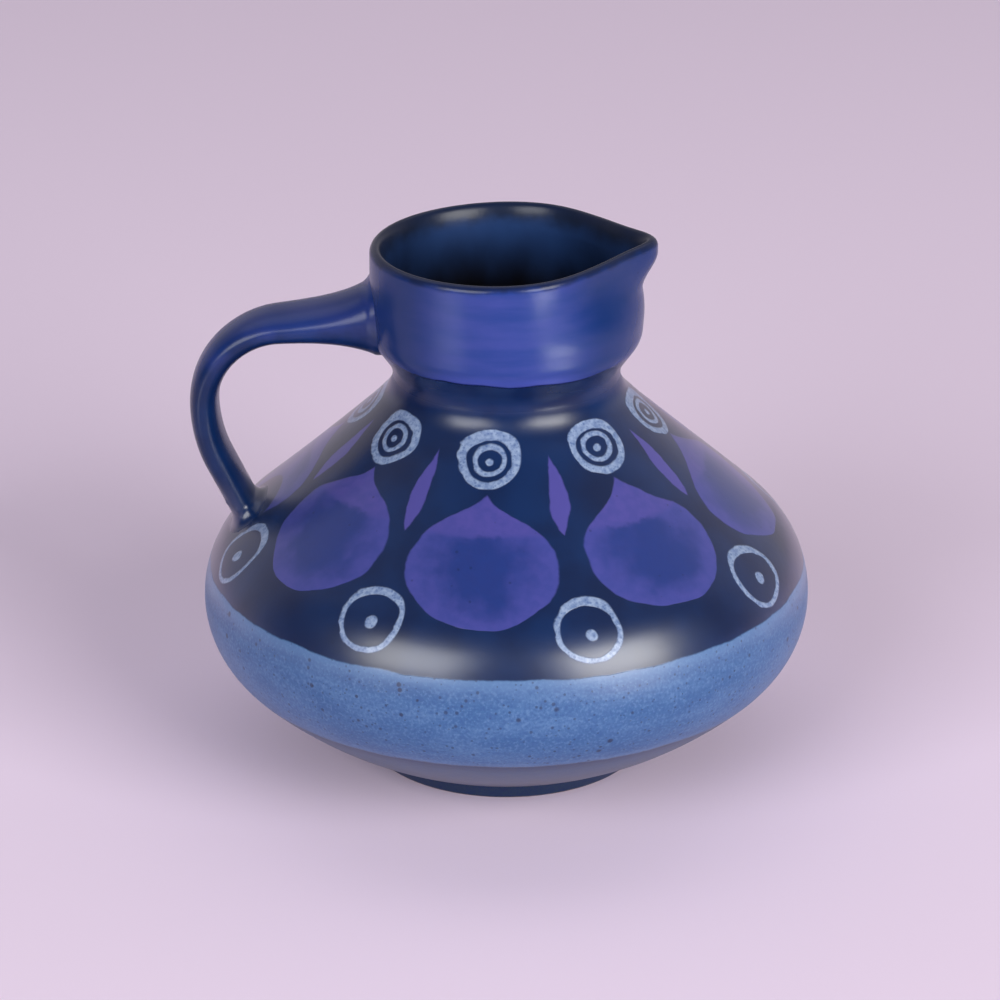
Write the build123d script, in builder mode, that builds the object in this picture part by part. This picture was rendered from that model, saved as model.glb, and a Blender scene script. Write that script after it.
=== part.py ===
"""A squat wheel-thrown jug with a strap handle and a pinched pouring lip, in the sections that a potter joins.

The thrown wall is one outline of tangent arcs and lines turned about Z: underside, belly, straight
shoulder, waist and collar. It is parted where one section is luted to the next. The collar's mouth is
pinched at +X into a lip, and the pulled strap handle stands at -X. The jug stands on the ring at Z = 0.
"""

import os
from math import acos, asin, atan2, cos, degrees, exp, hypot, pi, radians, sin, sqrt

from build123d import *

os.makedirs("parts", exist_ok=True)

# Thrown wall, in millimetres
wall = 4.2
base_thickness = 5.6
floor_fillet = 14.0
belly_radius = 80.0
belly_height = 44.8
belly_under_curve = 25.2
belly_crown_curve = 27.2
underside_turn = 46.5
base_seam_height = 27.2
belly_seam_height = 53.7
waist_inset = 5.5
waist_height = 105.5
waist_curve = 8.4

# Foot ring
foot_height = 4.6
foot_inset = 43.2
foot_flare = 1.8
foot_width = 5.6
foot_round = 1.3

# Collar, and the mouth that is pinched into a lip at +X
collar_radius = 35.1
collar_rise = 35.1
collar_roll = 7.0
crossing_length = 4.7
back_rim_drop = 0.4
lip_rim_rise = 1.5
rim_round_share = 0.4
pinch_depth = 3.4
pinch_angle = 40.0
pinch_spread_angle = 29.0
pinch_start_drop = 19.6
lip_reach = 4.8
lip_spread_angle = 13.0
lip_start_drop = 12.1
lip_full_drop = 2.1

# Pulled strap handle, an oval strap whose centre line lies in the plane of the lip
strap_thickness = 7.5
strap_width_at_collar = 20.0
strap_width_at_shoulder = 16.0
strap_root_drop = 19.7
strap_droop = 5.1
strap_arm_length = 26.0
strap_bend_radius = 21.6
strap_back_radius = 36.0
strap_lean = 25.3
strap_tail_length = 20.0
upper_root_reach = 9.6
upper_root_swell_share = 1.95
lower_root_reach = 8.0
lower_root_swell_share = 0.5
root_swell_across_share = 0.15

# Drawing aids: how far cuts run past the clay, how many points a closed curve has, and where sections lie
overrun = 5.0
mouth_points = 48
collar_height_shares = (0, 0.05, 0.11, 0.17, 0.23, 0.29, 0.35, 0.41, 0.5, 0.58, 0.66, 0.74, 0.82, 0.9, 1)
arm_station_shares = (0, 0.065, 0.13, 0.2, 0.3, 0.43, 0.6, 0.8)
bend_station_shares = (0, 0.34, 0.67)
back_station_shares = (0, 0.5)
tail_station_shares = (0, 0.25, 0.45, 0.65, 1)


def tangent_angle(convex_center, convex_radius, concave_center, concave_radius, side):
    """Direction in which a line crossing from a convex to a concave arc touches both of them."""
    run = concave_center[0] - convex_center[0]
    rise = concave_center[1] - convex_center[1]
    return atan2(rise, run) + side * acos((convex_radius + concave_radius) / hypot(run, rise))


# Heights at the mouth and the handle, which follow the rim, and the foot, which follows the belly
rim_height = waist_height + collar_rise
back_rim_height = rim_height - back_rim_drop
lip_rim_height = rim_height + lip_rim_rise
pinch_start_height = rim_height - pinch_start_drop
lip_start_height = rim_height - lip_start_drop
lip_full_height = rim_height - lip_full_drop
strap_root_height = rim_height - strap_root_drop
foot_radius = belly_radius - foot_inset
join_radius = foot_radius + foot_flare

# Centres of the arcs of the half section, as (radius, height); a line of crossing_length joins waist and roll
under_center = (belly_radius - belly_under_curve, belly_height)
crown_center = (belly_radius - belly_crown_curve, belly_height)
waist_center = (collar_radius - waist_inset + waist_curve, waist_height)
roll_reaches = waist_curve + collar_roll
roll_run = roll_reaches - waist_inset
roll_rise = sqrt(roll_reaches**2 + crossing_length**2 - roll_run**2)
roll_center = (collar_radius - collar_roll, waist_height + roll_rise)

# The underside's arc carries on from the belly's lower arc and ends where the foot ring joins it
turn_direction = (cos(radians(underside_turn)), -sin(radians(underside_turn)))
turn_point = tuple(center + belly_under_curve * part for center, part in zip(under_center, turn_direction))
turn_offset = (turn_point[0] - join_radius, turn_point[1] - foot_height)
turn_lead = turn_offset[0] * turn_direction[0] + turn_offset[1] * turn_direction[1]
underside_curve = hypot(*turn_offset) ** 2 / (2 * turn_lead)
underside_center = tuple(point - underside_curve * part for point, part in zip(turn_point, turn_direction))
shoulder_angle = tangent_angle(crown_center, belly_crown_curve, waist_center, waist_curve, -1)
roll_angle = tangent_angle(roll_center, collar_roll, waist_center, waist_curve, 1)


def underside_angle(inset, height):
    """Angle below the horizontal at which the underside's arc, moved inwards by inset, is at this height."""
    return asin((underside_center[1] - height) / (underside_curve - inset))


def half_section(inset, floor_height, floor_corner):
    """Half section of the thrown form moved inwards by inset, closed along the axis from floor to waist."""
    under_radius = underside_curve - inset
    floor_angle = degrees(underside_angle(inset, floor_height))
    shoulder_degrees = degrees(shoulder_angle)
    with BuildSketch(Plane.XZ) as half:
        with BuildLine():
            underside = CenterArc(underside_center, under_radius, -floor_angle, floor_angle - underside_turn)
            CenterArc(under_center, belly_under_curve - inset, -underside_turn, underside_turn)
            crown = CenterArc(crown_center, belly_crown_curve - inset, 0, shoulder_degrees)
            waist = CenterArc(waist_center, waist_curve + inset, 180, shoulder_degrees)
            Line(crown @ 1, waist @ 1)
            Polyline(waist @ 0, (0, waist_height), (0, floor_height), underside @ 0)
        make_face()
        if floor_corner:
            fillet(half.vertices().sort_by_distance(underside @ 0)[:1], floor_corner)
    return half.sketch


def collar_wall_radius(height, inset):
    """Radius of the collar's turned surface at this height: waist arc, crossing line, roll, upright wall."""
    waist_reach = waist_curve + inset
    roll_reach = collar_roll - inset
    line_start = waist_center[1] - waist_reach * sin(roll_angle)
    line_end = roll_center[1] + roll_reach * sin(roll_angle)
    if height <= line_start:
        return waist_center[0] - sqrt(waist_reach**2 - (height - waist_center[1]) ** 2)
    if height < line_end:
        share = (height - line_start) / (line_end - line_start)
        start_radius = waist_center[0] - waist_reach * cos(roll_angle)
        end_radius = roll_center[0] + roll_reach * cos(roll_angle)
        return start_radius + share * (end_radius - start_radius)
    if height < roll_center[1]:
        return roll_center[0] + sqrt(roll_reach**2 - (height - roll_center[1]) ** 2)
    return collar_radius - inset


def eased(value, start, end):
    """Share of the way from start to end, easing in and out."""
    share = min(max((value - start) / (end - start), 0), 1)
    return share * share * (3 - 2 * share)


def mouth_shift(angle, height):
    """How far the pinched mouth moves: both sides pressed in, and the lip drawn out between them."""
    side = degrees(atan2(sin(angle), cos(angle)))
    sides = sum(exp(-(((side - thumb) / pinch_spread_angle) ** 2)) for thumb in (-pinch_angle, pinch_angle))
    pressed = pinch_depth * sides * eased(height, pinch_start_height, lip_full_height)
    drawn = lip_reach * exp(-((side / lip_spread_angle) ** 2))
    return drawn * eased(height, lip_start_height, lip_full_height) - pressed


def collar_form(inset):
    """Filled collar moved inwards by inset, lofted through closed curves from the waist to above the mouth."""
    top_height = lip_rim_height + overrun
    with BuildPart() as form:
        for height_share in collar_height_shares:
            height = waist_height + height_share * (top_height - waist_height)
            with BuildSketch(Plane.XY.offset(height)):
                with BuildLine():
                    angles = [2 * pi * step / mouth_points for step in range(mouth_points)]
                    reaches = [collar_wall_radius(height, inset) + mouth_shift(angle, height) for angle in angles]
                    ring = [(reach * cos(angle), reach * sin(angle)) for angle, reach in zip(angles, reaches)]
                    Spline(ring, periodic=True)
                make_face()
        loft()
    return form.part


# Foot ring: a turned ring luted under the base
with BuildPart() as foot_ring:
    with BuildSketch(Plane.XZ) as ring_section:
        with BuildLine():
            Polyline(
                (foot_radius - foot_width, 0),
                (foot_radius, 0),
                (join_radius, foot_height),
                (foot_radius - foot_width, foot_height),
                close=True,
            )
        make_face()
        fillet(ring_section.vertices().group_by(Axis.Y)[0], foot_round)
    revolve(axis=Axis.Z)

# Thrown wall: its outside and its inside as half sections, turned between one seam and the next
thrown_outside = half_section(0, foot_height, 0)
thrown_inside = half_section(wall, foot_height + base_thickness, floor_fillet)


def thrown_wall(low, high):
    """Turned stretch of the thrown wall between two heights."""
    with BuildPart() as stretch:
        with BuildSketch(Plane.XZ):
            add(thrown_outside)
            add(thrown_inside, mode=Mode.SUBTRACT)
            with Locations((0, low)):
                Rectangle(belly_radius + overrun, high - low, align=(Align.MIN, Align.MIN), mode=Mode.INTERSECT)
        revolve(axis=Axis.Z)
    return stretch


base = thrown_wall(foot_height, base_seam_height)
belly = thrown_wall(base_seam_height, belly_seam_height)
shoulder = thrown_wall(belly_seam_height, waist_height)

# Collar: waist, rolled edge and upright wall, its mouth cut to a line that rises to the lip and rounded over
collar_outside = collar_form(0)
with BuildPart() as collar:
    add(collar_outside)
    add(collar_form(wall), mode=Mode.SUBTRACT)
    reach = collar_radius + overrun
    with BuildSketch(Plane.XZ.offset(reach)):
        with BuildLine():
            mouth = Spline((-reach, back_rim_height), (0, rim_height), (reach, lip_rim_height))
            high = lip_rim_height + 2 * overrun
            Polyline(mouth @ 1, (reach, high), (-reach, high), mouth @ 0)
        make_face()
    extrude(amount=-2 * reach, mode=Mode.SUBTRACT)
    fillet(collar.faces().sort_by(Axis.Z)[-1].edges(), rim_round_share * wall)

# Handle: an oval strap lofted along its centre line and cut to the collar and the shoulder
with BuildLine(Plane.XZ) as spine:
    arm = PolarLine((wall / 2 - collar_radius, strap_root_height), strap_arm_length, 180 + strap_droop)
    bend = JernArc(arm @ 1, arm % 1, strap_bend_radius, 90 - strap_droop)
    back = JernArc(bend @ 1, bend % 1, strap_back_radius, strap_lean)
    tail = PolarLine(back @ 1, strap_tail_length, strap_lean - 90)

stretches = (
    (arm, arm_station_shares),
    (bend, bend_station_shares),
    (back, back_station_shares),
    (tail, tail_station_shares),
)
strap_length = sum(stretch.length for stretch, _ in stretches)
with BuildPart() as handle:
    gone = 0
    for stretch, station_shares in stretches:
        for station_share in station_shares:
            along = gone + station_share * stretch.length
            upper_swell = upper_root_swell_share * exp(-along / upper_root_reach)
            lower_swell = lower_root_swell_share * exp((along - strap_length) / lower_root_reach)
            swell = 1 + upper_swell + lower_swell
            taper = strap_width_at_collar - strap_width_at_shoulder
            width = strap_width_at_collar - taper * along / strap_length
            section_plane = Plane(origin=stretch @ station_share, x_dir=(0, 1, 0), z_dir=stretch % station_share)
            with BuildSketch(section_plane):
                Ellipse(width / 2 * swell**root_swell_across_share, strap_thickness / 2 * swell)
        gone += stretch.length
    loft()
    add(collar_outside, mode=Mode.SUBTRACT)
    with BuildSketch(Plane.XZ):
        add(thrown_outside)
    revolve(axis=Axis.Z, mode=Mode.SUBTRACT)

for name, piece in {
    "foot_ring": foot_ring,
    "base": base,
    "belly": belly,
    "shoulder": shoulder,
    "collar": collar,
    "handle": handle,
}.items():
    piece.part.label = name
    export_step(piece.part, f"parts/{name}.step")
    print(name, round(piece.part.volume), piece.part.bounding_box())
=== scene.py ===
"""Looks of a squat glazed jug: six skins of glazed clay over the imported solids, their glazes, and a plain studio.

Lengths are millimetres until they reach a mesh. Lights, the camera and LOWER_ROOT, a place in Object
coordinates, are in metres. Z is the axis of the thrown body, the lip points to +X and the handle stands
at -X.
"""

import math

import bpy
import numpy as np
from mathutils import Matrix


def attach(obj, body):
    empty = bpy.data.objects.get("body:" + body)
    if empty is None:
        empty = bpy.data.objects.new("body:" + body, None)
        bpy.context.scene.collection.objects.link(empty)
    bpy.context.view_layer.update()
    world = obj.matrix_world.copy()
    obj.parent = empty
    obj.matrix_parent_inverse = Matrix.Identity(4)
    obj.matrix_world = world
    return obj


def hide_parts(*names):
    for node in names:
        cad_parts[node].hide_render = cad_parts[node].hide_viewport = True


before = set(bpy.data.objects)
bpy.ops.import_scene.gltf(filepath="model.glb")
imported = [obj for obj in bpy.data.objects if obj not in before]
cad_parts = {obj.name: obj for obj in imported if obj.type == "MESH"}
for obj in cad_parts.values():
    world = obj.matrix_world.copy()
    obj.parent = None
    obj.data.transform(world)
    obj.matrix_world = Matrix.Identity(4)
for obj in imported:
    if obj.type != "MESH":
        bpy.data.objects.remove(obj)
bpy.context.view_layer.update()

MM = 0.001
MM_PER_METRE = 1000.0

# Thrown wall, the same outline of arcs and lines as in the solids. Angles are degrees here and below
WALL = 4.2
BELLY_RADIUS = 80.0
BELLY_HEIGHT = 44.8
BELLY_UNDER_CURVE = 25.2
BELLY_CROWN_CURVE = 27.2
UNDERSIDE_TURN = 46.5
WAIST_INSET = 5.5
WAIST_HEIGHT = 105.5
WAIST_CURVE = 8.4
FLOOR_HEIGHT = 10.2
FLOOR_FILLET = 14.0
FOOT_HEIGHT = 4.6
FOOT_RADIUS = 36.8
FOOT_FLARE = 1.8
FOOT_WIDTH = 5.6
FOOT_ROUND = 1.3
BASE_SEAM_HEIGHT = 27.2
BELLY_SEAM_HEIGHT = 53.7

# How the clay departs from that outline: size, height and spread of bell curves of the height
SUNK_SHOULDER = (-1.15, 77.0, 21.0)
SWOLLEN_LIP = (0.3, 125.0, 9.0)
FINGER_RIDGE = (0.34, 124.5, 5.5)
FULLER_NECK = (0.6, 100.0, 3.5)

# Collar and its pinched mouth
COLLAR_RADIUS = 35.1
COLLAR_ROLL = 7.0
CROSSING_LENGTH = 4.7
RIM_HEIGHT = 140.6
RIM_REACH = 40.1
BACK_RIM_DROP = 0.4
LIP_RIM_RISE = 1.5
RIM_ROUND = 2.0
RIM_CREST_SHARE = 0.42
RIM_INNER_ROUND = 7.0
RIM_FLARE = 0.7
RIM_FLARE_DEPTH = 13.0
PINCH_DEPTH = 3.4
PINCH_ANGLE = 40.0
PINCH_SPREAD = 29.0
PINCH_START_HEIGHT = 121.0
LIP_REACH = 4.8
LIP_SPREAD = 13.0
LIP_START_HEIGHT = 128.5
LIP_FULL_HEIGHT = 138.5
CHANNEL_REACH = 0.7
CHANNEL_SPREAD = 7.0

# Strap handle
STRAP_THICKNESS = 7.5
STRAP_CORNER = 0.84
STRAP_WIDTH_AT_COLLAR = 20.0
STRAP_WIDTH_AT_SHOULDER = 16.0
STRAP_ROOT_HEIGHT = 120.9
STRAP_DROOP = 5.1
STRAP_ARM_LENGTH = 26.0
STRAP_BEND_RADIUS = 21.6
STRAP_BACK_RADIUS = 36.0
STRAP_LEAN = 25.3
STRAP_TAIL_LENGTH = 20.0
UPPER_SWELL_REACH = 9.6
UPPER_SWELL_SHARE = 1.75
ROOT_DEPTH = 1.6
ROOT_SINK_SHARE = 0.02
LOWER_ROOT = (-0.0675, 0.0, 0.066)
UPPER_ROOT_FILLET = 2.6
LOWER_ROOT_FILLET = 3.4
STRAP_LUMP_HEIGHT = 0.12
STRAP_MM_PER_DEGREE = 0.12

# Beads of glaze over the lower joint: share of the strap's length, radians round it, size and height
GLAZE_BEADS = [(0.93, 3.0, 1.2, 0.35), (0.9, 2.4, 1.1, 0.3), (0.945, -2.7, 1.3, 0.35), (0.915, 0.3, 1.2, 0.3)]

# Fineness of the meshes, and of the search for the nearest place of the outline
TURNED_COLUMNS = 320
COLLAR_COLUMNS = 384
COLLAR_WALL_ROWS = 70
RIM_ROWS = 28
STRAP_ROWS = 230
STRAP_COLUMNS = 80
STRAP_CROWDING = 0.86
STRAP_SCAN_STEPS = 1200
SPINE_STEPS = 4001
HAIR = 0.04
HAIR_SHARE = 0.001
SHARP_ANGLE = 55.0
NEAREST_STEPS = 12
NEAREST_DAMPING = 0.6
SLOPE_STEP = 0.2

# Painted shoulder: motifs repeat round the jug, and "up" is measured along the slope from SLOPE_HEIGHT
MOTIF_COUNT = 8.0
MOTIF_START = math.radians(-6.0)
SLOPE_HEIGHT = 65.0
SLOPE_STRETCH = 1.49
SLOPE_FLATTENS = 0.28
PETAL_FOOT = -1.0
PETAL_LENGTH = 37.5
PETAL_HALF_WIDTH = 19.6
ROOT_CLEARING = 12.5
SHAPE_INSET = 0.3
TARGET_UP = 45.6
TARGET_RADIUS = 6.9
TARGET_INNER_RADIUS = 3.7
TARGET_DOT = 2.0
LOOP_UP = -3.2
LOOP_RADIUS = 7.9
LOOP_DOT = 3.0
STROKE_SOFTNESS = 0.25
LEAF_FOOT = 23.0
LEAF_LENGTH = 24.0
LEAF_HALF_WIDTH = 2.7

# Width of a petal and of a leaf at shares of its length
PETAL_OUTLINE = [
    (0, 0), (0.012, 0.24), (0.035, 0.4), (0.08, 0.59), (0.15, 0.78), (0.25, 0.94), (0.37, 1.0),
    (0.5, 0.97), (0.62, 0.85), (0.73, 0.63), (0.83, 0.36), (0.92, 0.13), (1, 0),
]
LEAF_OUTLINE = [
    (0, 0), (0.05, 0.28), (0.15, 0.62), (0.27, 0.88), (0.4, 1.0), (0.54, 0.94), (0.7, 0.7), (0.86, 0.34), (1, 0),
]

# Heights at which the glazes change, and between which painted shade and a painted reflection come and go
BAND_TOP_HEIGHT = BELLY_SEAM_HEIGHT - 0.3
BAND_LOW_HEIGHT = BASE_SEAM_HEIGHT + 0.6
FOOT_WIPED = (0.4, 0.25)
# Heights over which the underside's painted reflection comes in, and then the band's painted shade
UNDERSIDE_REFLECTION_RISES = (8.0, 24.0)
BAND_SHADES = (23.5, 26.0)
BAND_COAT_RISES = (46.5, 52.5)
WAIST_COAT_ENDS = (104.5, 101.0)
GLAZE_RUN_HEIGHT = 114.3
# Heights between which the lining's painted shade gives way to its lit glaze
LINING_SHADE_LIFTS = (119.0, 141.0)
HANDLE_TURNS_VIOLET = (104.0, 126.0)
HANDLE_COAT_FALLS = (72.0, 80.0)

# Thickness of the glazes and depth of their unevenness
FOOT_GLAZE_THICKNESS = 0.2
BAND_THICKNESS = 0.06
BEAD_THICKNESS = 0.08
PETAL_THICKNESS = 0.03
SLIP_THICKNESS = 0.12
COLLAR_GLAZE_THICKNESS = 0.22
RUN_THICKNESS = 0.1
GRAIN_DEPTH = 0.015
DIMPLE_DEPTH = 0.008

# Roughness of the glazes, of the clay and of the clear coats
FOOT_ROUGHNESS = 0.35
CLAY_ROUGHNESS = 0.85
NAVY_ROUGHNESS = 0.28
BAND_ROUGHNESS = 0.36
LINING_ROUGHNESS = 0.3
SHOULDER_ROUGHNESS = 0.3
PETAL_ROUGHNESS = 0.33
SLIP_ROUGHNESS = 0.36
COLLAR_ROUGHNESS = 0.25
HANDLE_ROUGHNESS = 0.27
COAT_ROUGHNESS = 0.29
BAND_COAT_ROUGHNESS = 0.31

# Specks of the light band: from one to the next, size, share of places that have one, and strength
BAND_SPECKS = [(5.6, 0.6, 0.7, 0.75), (2.8, 0.4, 0.8, 0.6), (1.5, 0.27, 0.7, 0.5)]

# The part of Blender's noise that is spread over 0 to 1
NOISE_LOW = 0.28
NOISE_HIGH = 0.72


# ---- outlines

def arc(center, radius, start, end, spacing=0.7):
    """Points of a circle's arc: centre plus radius times (cosine, sine) of evenly spaced angles in degrees."""
    count = max(6, int(abs(math.radians(end - start)) * radius / spacing))
    angles = np.radians(np.linspace(start, end, count))
    return np.stack([center[0] + radius * np.cos(angles), center[1] + radius * np.sin(angles)], -1)


def crossing_angle(convex, convex_radius, concave, concave_radius, side):
    """Direction, in degrees, in which a line that crosses from one arc to the other touches both of them."""
    run, rise = concave[0] - convex[0], concave[1] - convex[1]
    lean = math.acos((convex_radius + concave_radius) / math.hypot(run, rise))
    return math.degrees(math.atan2(rise, run) + side * lean)


UNDER_CENTER = (BELLY_RADIUS - BELLY_UNDER_CURVE, BELLY_HEIGHT)
CROWN_CENTER = (BELLY_RADIUS - BELLY_CROWN_CURVE, BELLY_HEIGHT)
WAIST_CENTER = (COLLAR_RADIUS - WAIST_INSET + WAIST_CURVE, WAIST_HEIGHT)
ROLL_REACHES = WAIST_CURVE + COLLAR_ROLL
ROLL_RISE = math.sqrt(ROLL_REACHES**2 + CROSSING_LENGTH**2 - (ROLL_REACHES - WAIST_INSET) ** 2)
ROLL_CENTER = (COLLAR_RADIUS - COLLAR_ROLL, WAIST_HEIGHT + ROLL_RISE)

# The underside's arc leaves the belly's lower arc at a tangent and ends where the foot ring joins it
TURN = np.array([math.cos(math.radians(UNDERSIDE_TURN)), -math.sin(math.radians(UNDERSIDE_TURN))])
TURN_POINT = np.array(UNDER_CENTER) + BELLY_UNDER_CURVE * TURN
TURN_OFFSET = TURN_POINT - (FOOT_RADIUS + FOOT_FLARE, FOOT_HEIGHT)
UNDERSIDE_CURVE = float(TURN_OFFSET @ TURN_OFFSET / (2 * TURN_OFFSET @ TURN))
UNDERSIDE_CENTER = tuple(TURN_POINT - UNDERSIDE_CURVE * TURN)
FOOT_JOIN_TURN = math.asin((UNDERSIDE_CENTER[1] - FOOT_HEIGHT) / UNDERSIDE_CURVE)
SHOULDER_ANGLE = crossing_angle(CROWN_CENTER, BELLY_CROWN_CURVE, WAIST_CENTER, WAIST_CURVE, -1)
ROLL_ANGLE = crossing_angle(ROLL_CENTER, COLLAR_ROLL, WAIST_CENTER, WAIST_CURVE, 1)


def thrown_outline(inset, start_angle):
    """Thrown wall from underside to waist, as (radius, height): four tangent arcs, moved inwards by the inset."""
    return np.concatenate([
        arc(UNDERSIDE_CENTER, UNDERSIDE_CURVE - inset, start_angle, -UNDERSIDE_TURN)[:-1],
        arc(UNDER_CENTER, BELLY_UNDER_CURVE - inset, -UNDERSIDE_TURN, 0)[:-1],
        arc(CROWN_CENTER, BELLY_CROWN_CURVE - inset, 0, SHOULDER_ANGLE),
        arc(WAIST_CENTER, WAIST_CURVE + inset, 180 + SHOULDER_ANGLE, 180),
    ])


def outside_outline():
    """Outside of the wall, from where it meets the foot ring up to the waist."""
    return thrown_outline(0, -math.degrees(FOOT_JOIN_TURN))


def inside_outline():
    """Inside of the wall, from the axis over the flat floor and its rounded corner up to the waist."""
    reach = UNDERSIDE_CURVE - WALL - FLOOR_FILLET
    corner_height = FLOOR_HEIGHT + FLOOR_FILLET
    fall = UNDERSIDE_CENTER[1] - corner_height
    corner = (UNDERSIDE_CENTER[0] + math.sqrt(reach**2 - fall**2), corner_height)
    turn = -math.degrees(math.asin(fall / reach))
    floor = np.stack([np.linspace(0, corner[0], 40), np.full(40, FLOOR_HEIGHT)], -1)
    return np.concatenate([floor[:-1], arc(corner, FLOOR_FILLET, -90, turn)[:-1], thrown_outline(WALL, turn)])


def stretch(outline, low, high, spacing=0.9):
    """The part of an outline between two heights, in even steps along its length and a hair-fine step at each end."""
    steps = np.hypot(*np.diff(outline, axis=0).T)
    along = np.concatenate([[0], np.cumsum(steps)])
    rising = np.maximum.accumulate(outline[:, 1] + along * 1e-9)
    first, last = np.interp([low, high], rising, along)
    count = max(4, int((last - first) / spacing))
    places = np.linspace(first, last, count)
    places = np.concatenate([[first, first + HAIR], places[1:-1], [last - HAIR, last]])
    return np.stack([np.interp(places, along, outline[:, 0]), np.interp(places, along, outline[:, 1])], -1)


def eased(value, start, end):
    """Share of the way from start to end, as three squares less two cubes of it."""
    share = np.clip((value - start) / (end - start), 0, 1)
    return share * share * (3 - 2 * share)


def side_of(angle):
    """Angle from the lip, in degrees, between -180 and 180."""
    return np.degrees(np.arctan2(np.sin(angle), np.cos(angle)))


def bell(value, size, middle, spread):
    """Bell curve: the size times e to the power of minus the square of the distance from the middle over the spread."""
    return size * np.exp(-(((value - middle) / spread) ** 2))


def mouth_shift(angle, height):
    """How far the pinched mouth moves: two bell curves press its sides in, and a narrower one draws the lip out."""
    side = side_of(angle)
    thumbs = sum(bell(side, PINCH_DEPTH, thumb, PINCH_SPREAD) for thumb in (-PINCH_ANGLE, PINCH_ANGLE))
    pressed = thumbs * eased(height, PINCH_START_HEIGHT, LIP_FULL_HEIGHT)
    drawn = bell(side, LIP_REACH, 0, LIP_SPREAD) * eased(height, LIP_START_HEIGHT, LIP_FULL_HEIGHT)
    return drawn - pressed


def channel(angle, height):
    """How far the inside of the lip is thumbed out into a narrower channel, by a thin bell curve."""
    return bell(side_of(angle), CHANNEL_REACH, 0, CHANNEL_SPREAD) * eased(height, LIP_START_HEIGHT, LIP_FULL_HEIGHT)


def settling(angle, height):
    """How far the thrown clay departs from its outline: sunk in on the handle's side of the shoulder and out a little
    under the lip, each by a bell curve of the height times a power of the cosine of the angle, with a finger ridge
    round the collar and a fuller neck, each a bell curve of the height."""
    sunk = bell(height, *SUNK_SHOULDER) * np.clip(-np.cos(angle), 0, 1) ** 2
    swollen = bell(height, *SWOLLEN_LIP) * np.clip(np.cos(angle), 0, 1) ** 6
    return sunk + swollen + bell(height, *FINGER_RIDGE) + bell(height, *FULLER_NECK)


def collar_radius(height, inset):
    """Radius of the collar's wall by height: waist arc, crossing line, rolled edge, then upright."""
    waist_reach, roll_reach = WAIST_CURVE + inset, COLLAR_ROLL - inset
    lean = math.radians(ROLL_ANGLE)
    towards = np.array([math.cos(lean), math.sin(lean)])
    start, end = WAIST_CENTER - waist_reach * towards, ROLL_CENTER + roll_reach * towards
    crossing = start[0] + (height - start[1]) / (end[1] - start[1]) * (end[0] - start[0])
    waist = WAIST_CENTER[0] - np.sqrt(np.maximum(waist_reach**2 - (height - WAIST_CENTER[1]) ** 2, 0))
    roll = ROLL_CENTER[0] + np.sqrt(np.maximum(roll_reach**2 - (height - ROLL_CENTER[1]) ** 2, 0))
    parts = [height <= start[1], height < end[1], height < ROLL_CENTER[1]]
    return np.select(parts, [waist, crossing, roll], COLLAR_RADIUS - inset)


# ---- meshes

def as_vertices(grid, closed_rows):
    """A grid's values one below another. Unless its rows close, each end row becomes one pole, put last."""
    if closed_rows:
        return grid.reshape(-1, *grid.shape[2:])
    return np.concatenate([grid[1:-1].reshape(-1, *grid.shape[2:]), grid[:1].mean(1), grid[-1:].mean(1)])


def skin(name, points, node, material, closed_rows=True, attributes=None):
    """Closed mesh from rows of points, each row a ring. The last row joins the first, or both end rows are poles."""
    rows, columns = points.shape[:2]
    body_rows = rows if closed_rows else rows - 2
    vertices = as_vertices(points, closed_rows)
    ring = np.arange(columns)
    following = (ring + 1) % columns
    lower = np.arange(body_rows if closed_rows else body_rows - 1)[:, None]
    low, high = lower * columns, (lower + 1) % body_rows * columns
    quads = np.stack([low + ring, low + following, high + following, high + ring], -1).reshape(-1, 4)
    faces = quads.tolist()
    if not closed_rows:
        pole, last = body_rows * columns, (body_rows - 1) * columns
        faces += np.stack([np.full(columns, pole), following, ring], -1).tolist()
        faces += np.stack([np.full(columns, pole + 1), last + ring, last + following], -1).tolist()
    corners = vertices[quads].swapaxes(0, 1)
    volume = sum(np.sum(corners[0] * np.cross(corners[k], corners[k + 1])) for k in (1, 2))
    if volume < 0:
        faces = [face[::-1] for face in faces]
    mesh = bpy.data.meshes.new(name)
    mesh.from_pydata((vertices * MM).tolist(), [], faces)
    mesh.update()
    mesh.polygons.foreach_set("use_smooth", np.ones(len(faces), bool))
    mesh.set_sharp_from_angle(angle=math.radians(SHARP_ANGLE))
    for label, values in (attributes or {}).items():
        field = mesh.attributes.new(label, "FLOAT", "POINT")
        field.data.foreach_set("value", as_vertices(values, closed_rows).astype(np.float32))
    mesh.materials.append(material)
    piece = bpy.data.objects.new(name, mesh)
    bpy.context.scene.collection.objects.link(piece)
    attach(piece, "root")
    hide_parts(node)


def around_axis(columns):
    """Angles round Z, evenly spaced from the lip, as one row."""
    return np.linspace(0, 2 * np.pi, columns, endpoint=False)[None, :]


def turned(profile):
    """Rings of a profile of (radius, height) carried round Z, each radius moved by the clay's settling."""
    angle = around_axis(TURNED_COLUMNS)
    radius, height = profile[:, :1], profile[:, 1:]
    radius = np.where(radius > 1, radius + settling(angle, height), radius)
    return np.stack([radius * np.cos(angle), radius * np.sin(angle), height + 0 * angle], -1)


def lining(outer, inner):
    """Attribute of a closed wall: 0 on its outside rows and 1 on its inside rows."""
    return np.repeat(np.concatenate([np.zeros(outer), np.ones(inner)])[:, None], TURNED_COLUMNS, 1)


def wall_between(low, high):
    """Closed profile of the wall between two heights, up its outside and down its inside, and its lining values."""
    outside = stretch(outside_outline(), low, high)
    inside = stretch(inside_outline(), low, high)[::-1]
    return np.concatenate([outside, inside]), lining(len(outside), len(inside))


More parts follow.
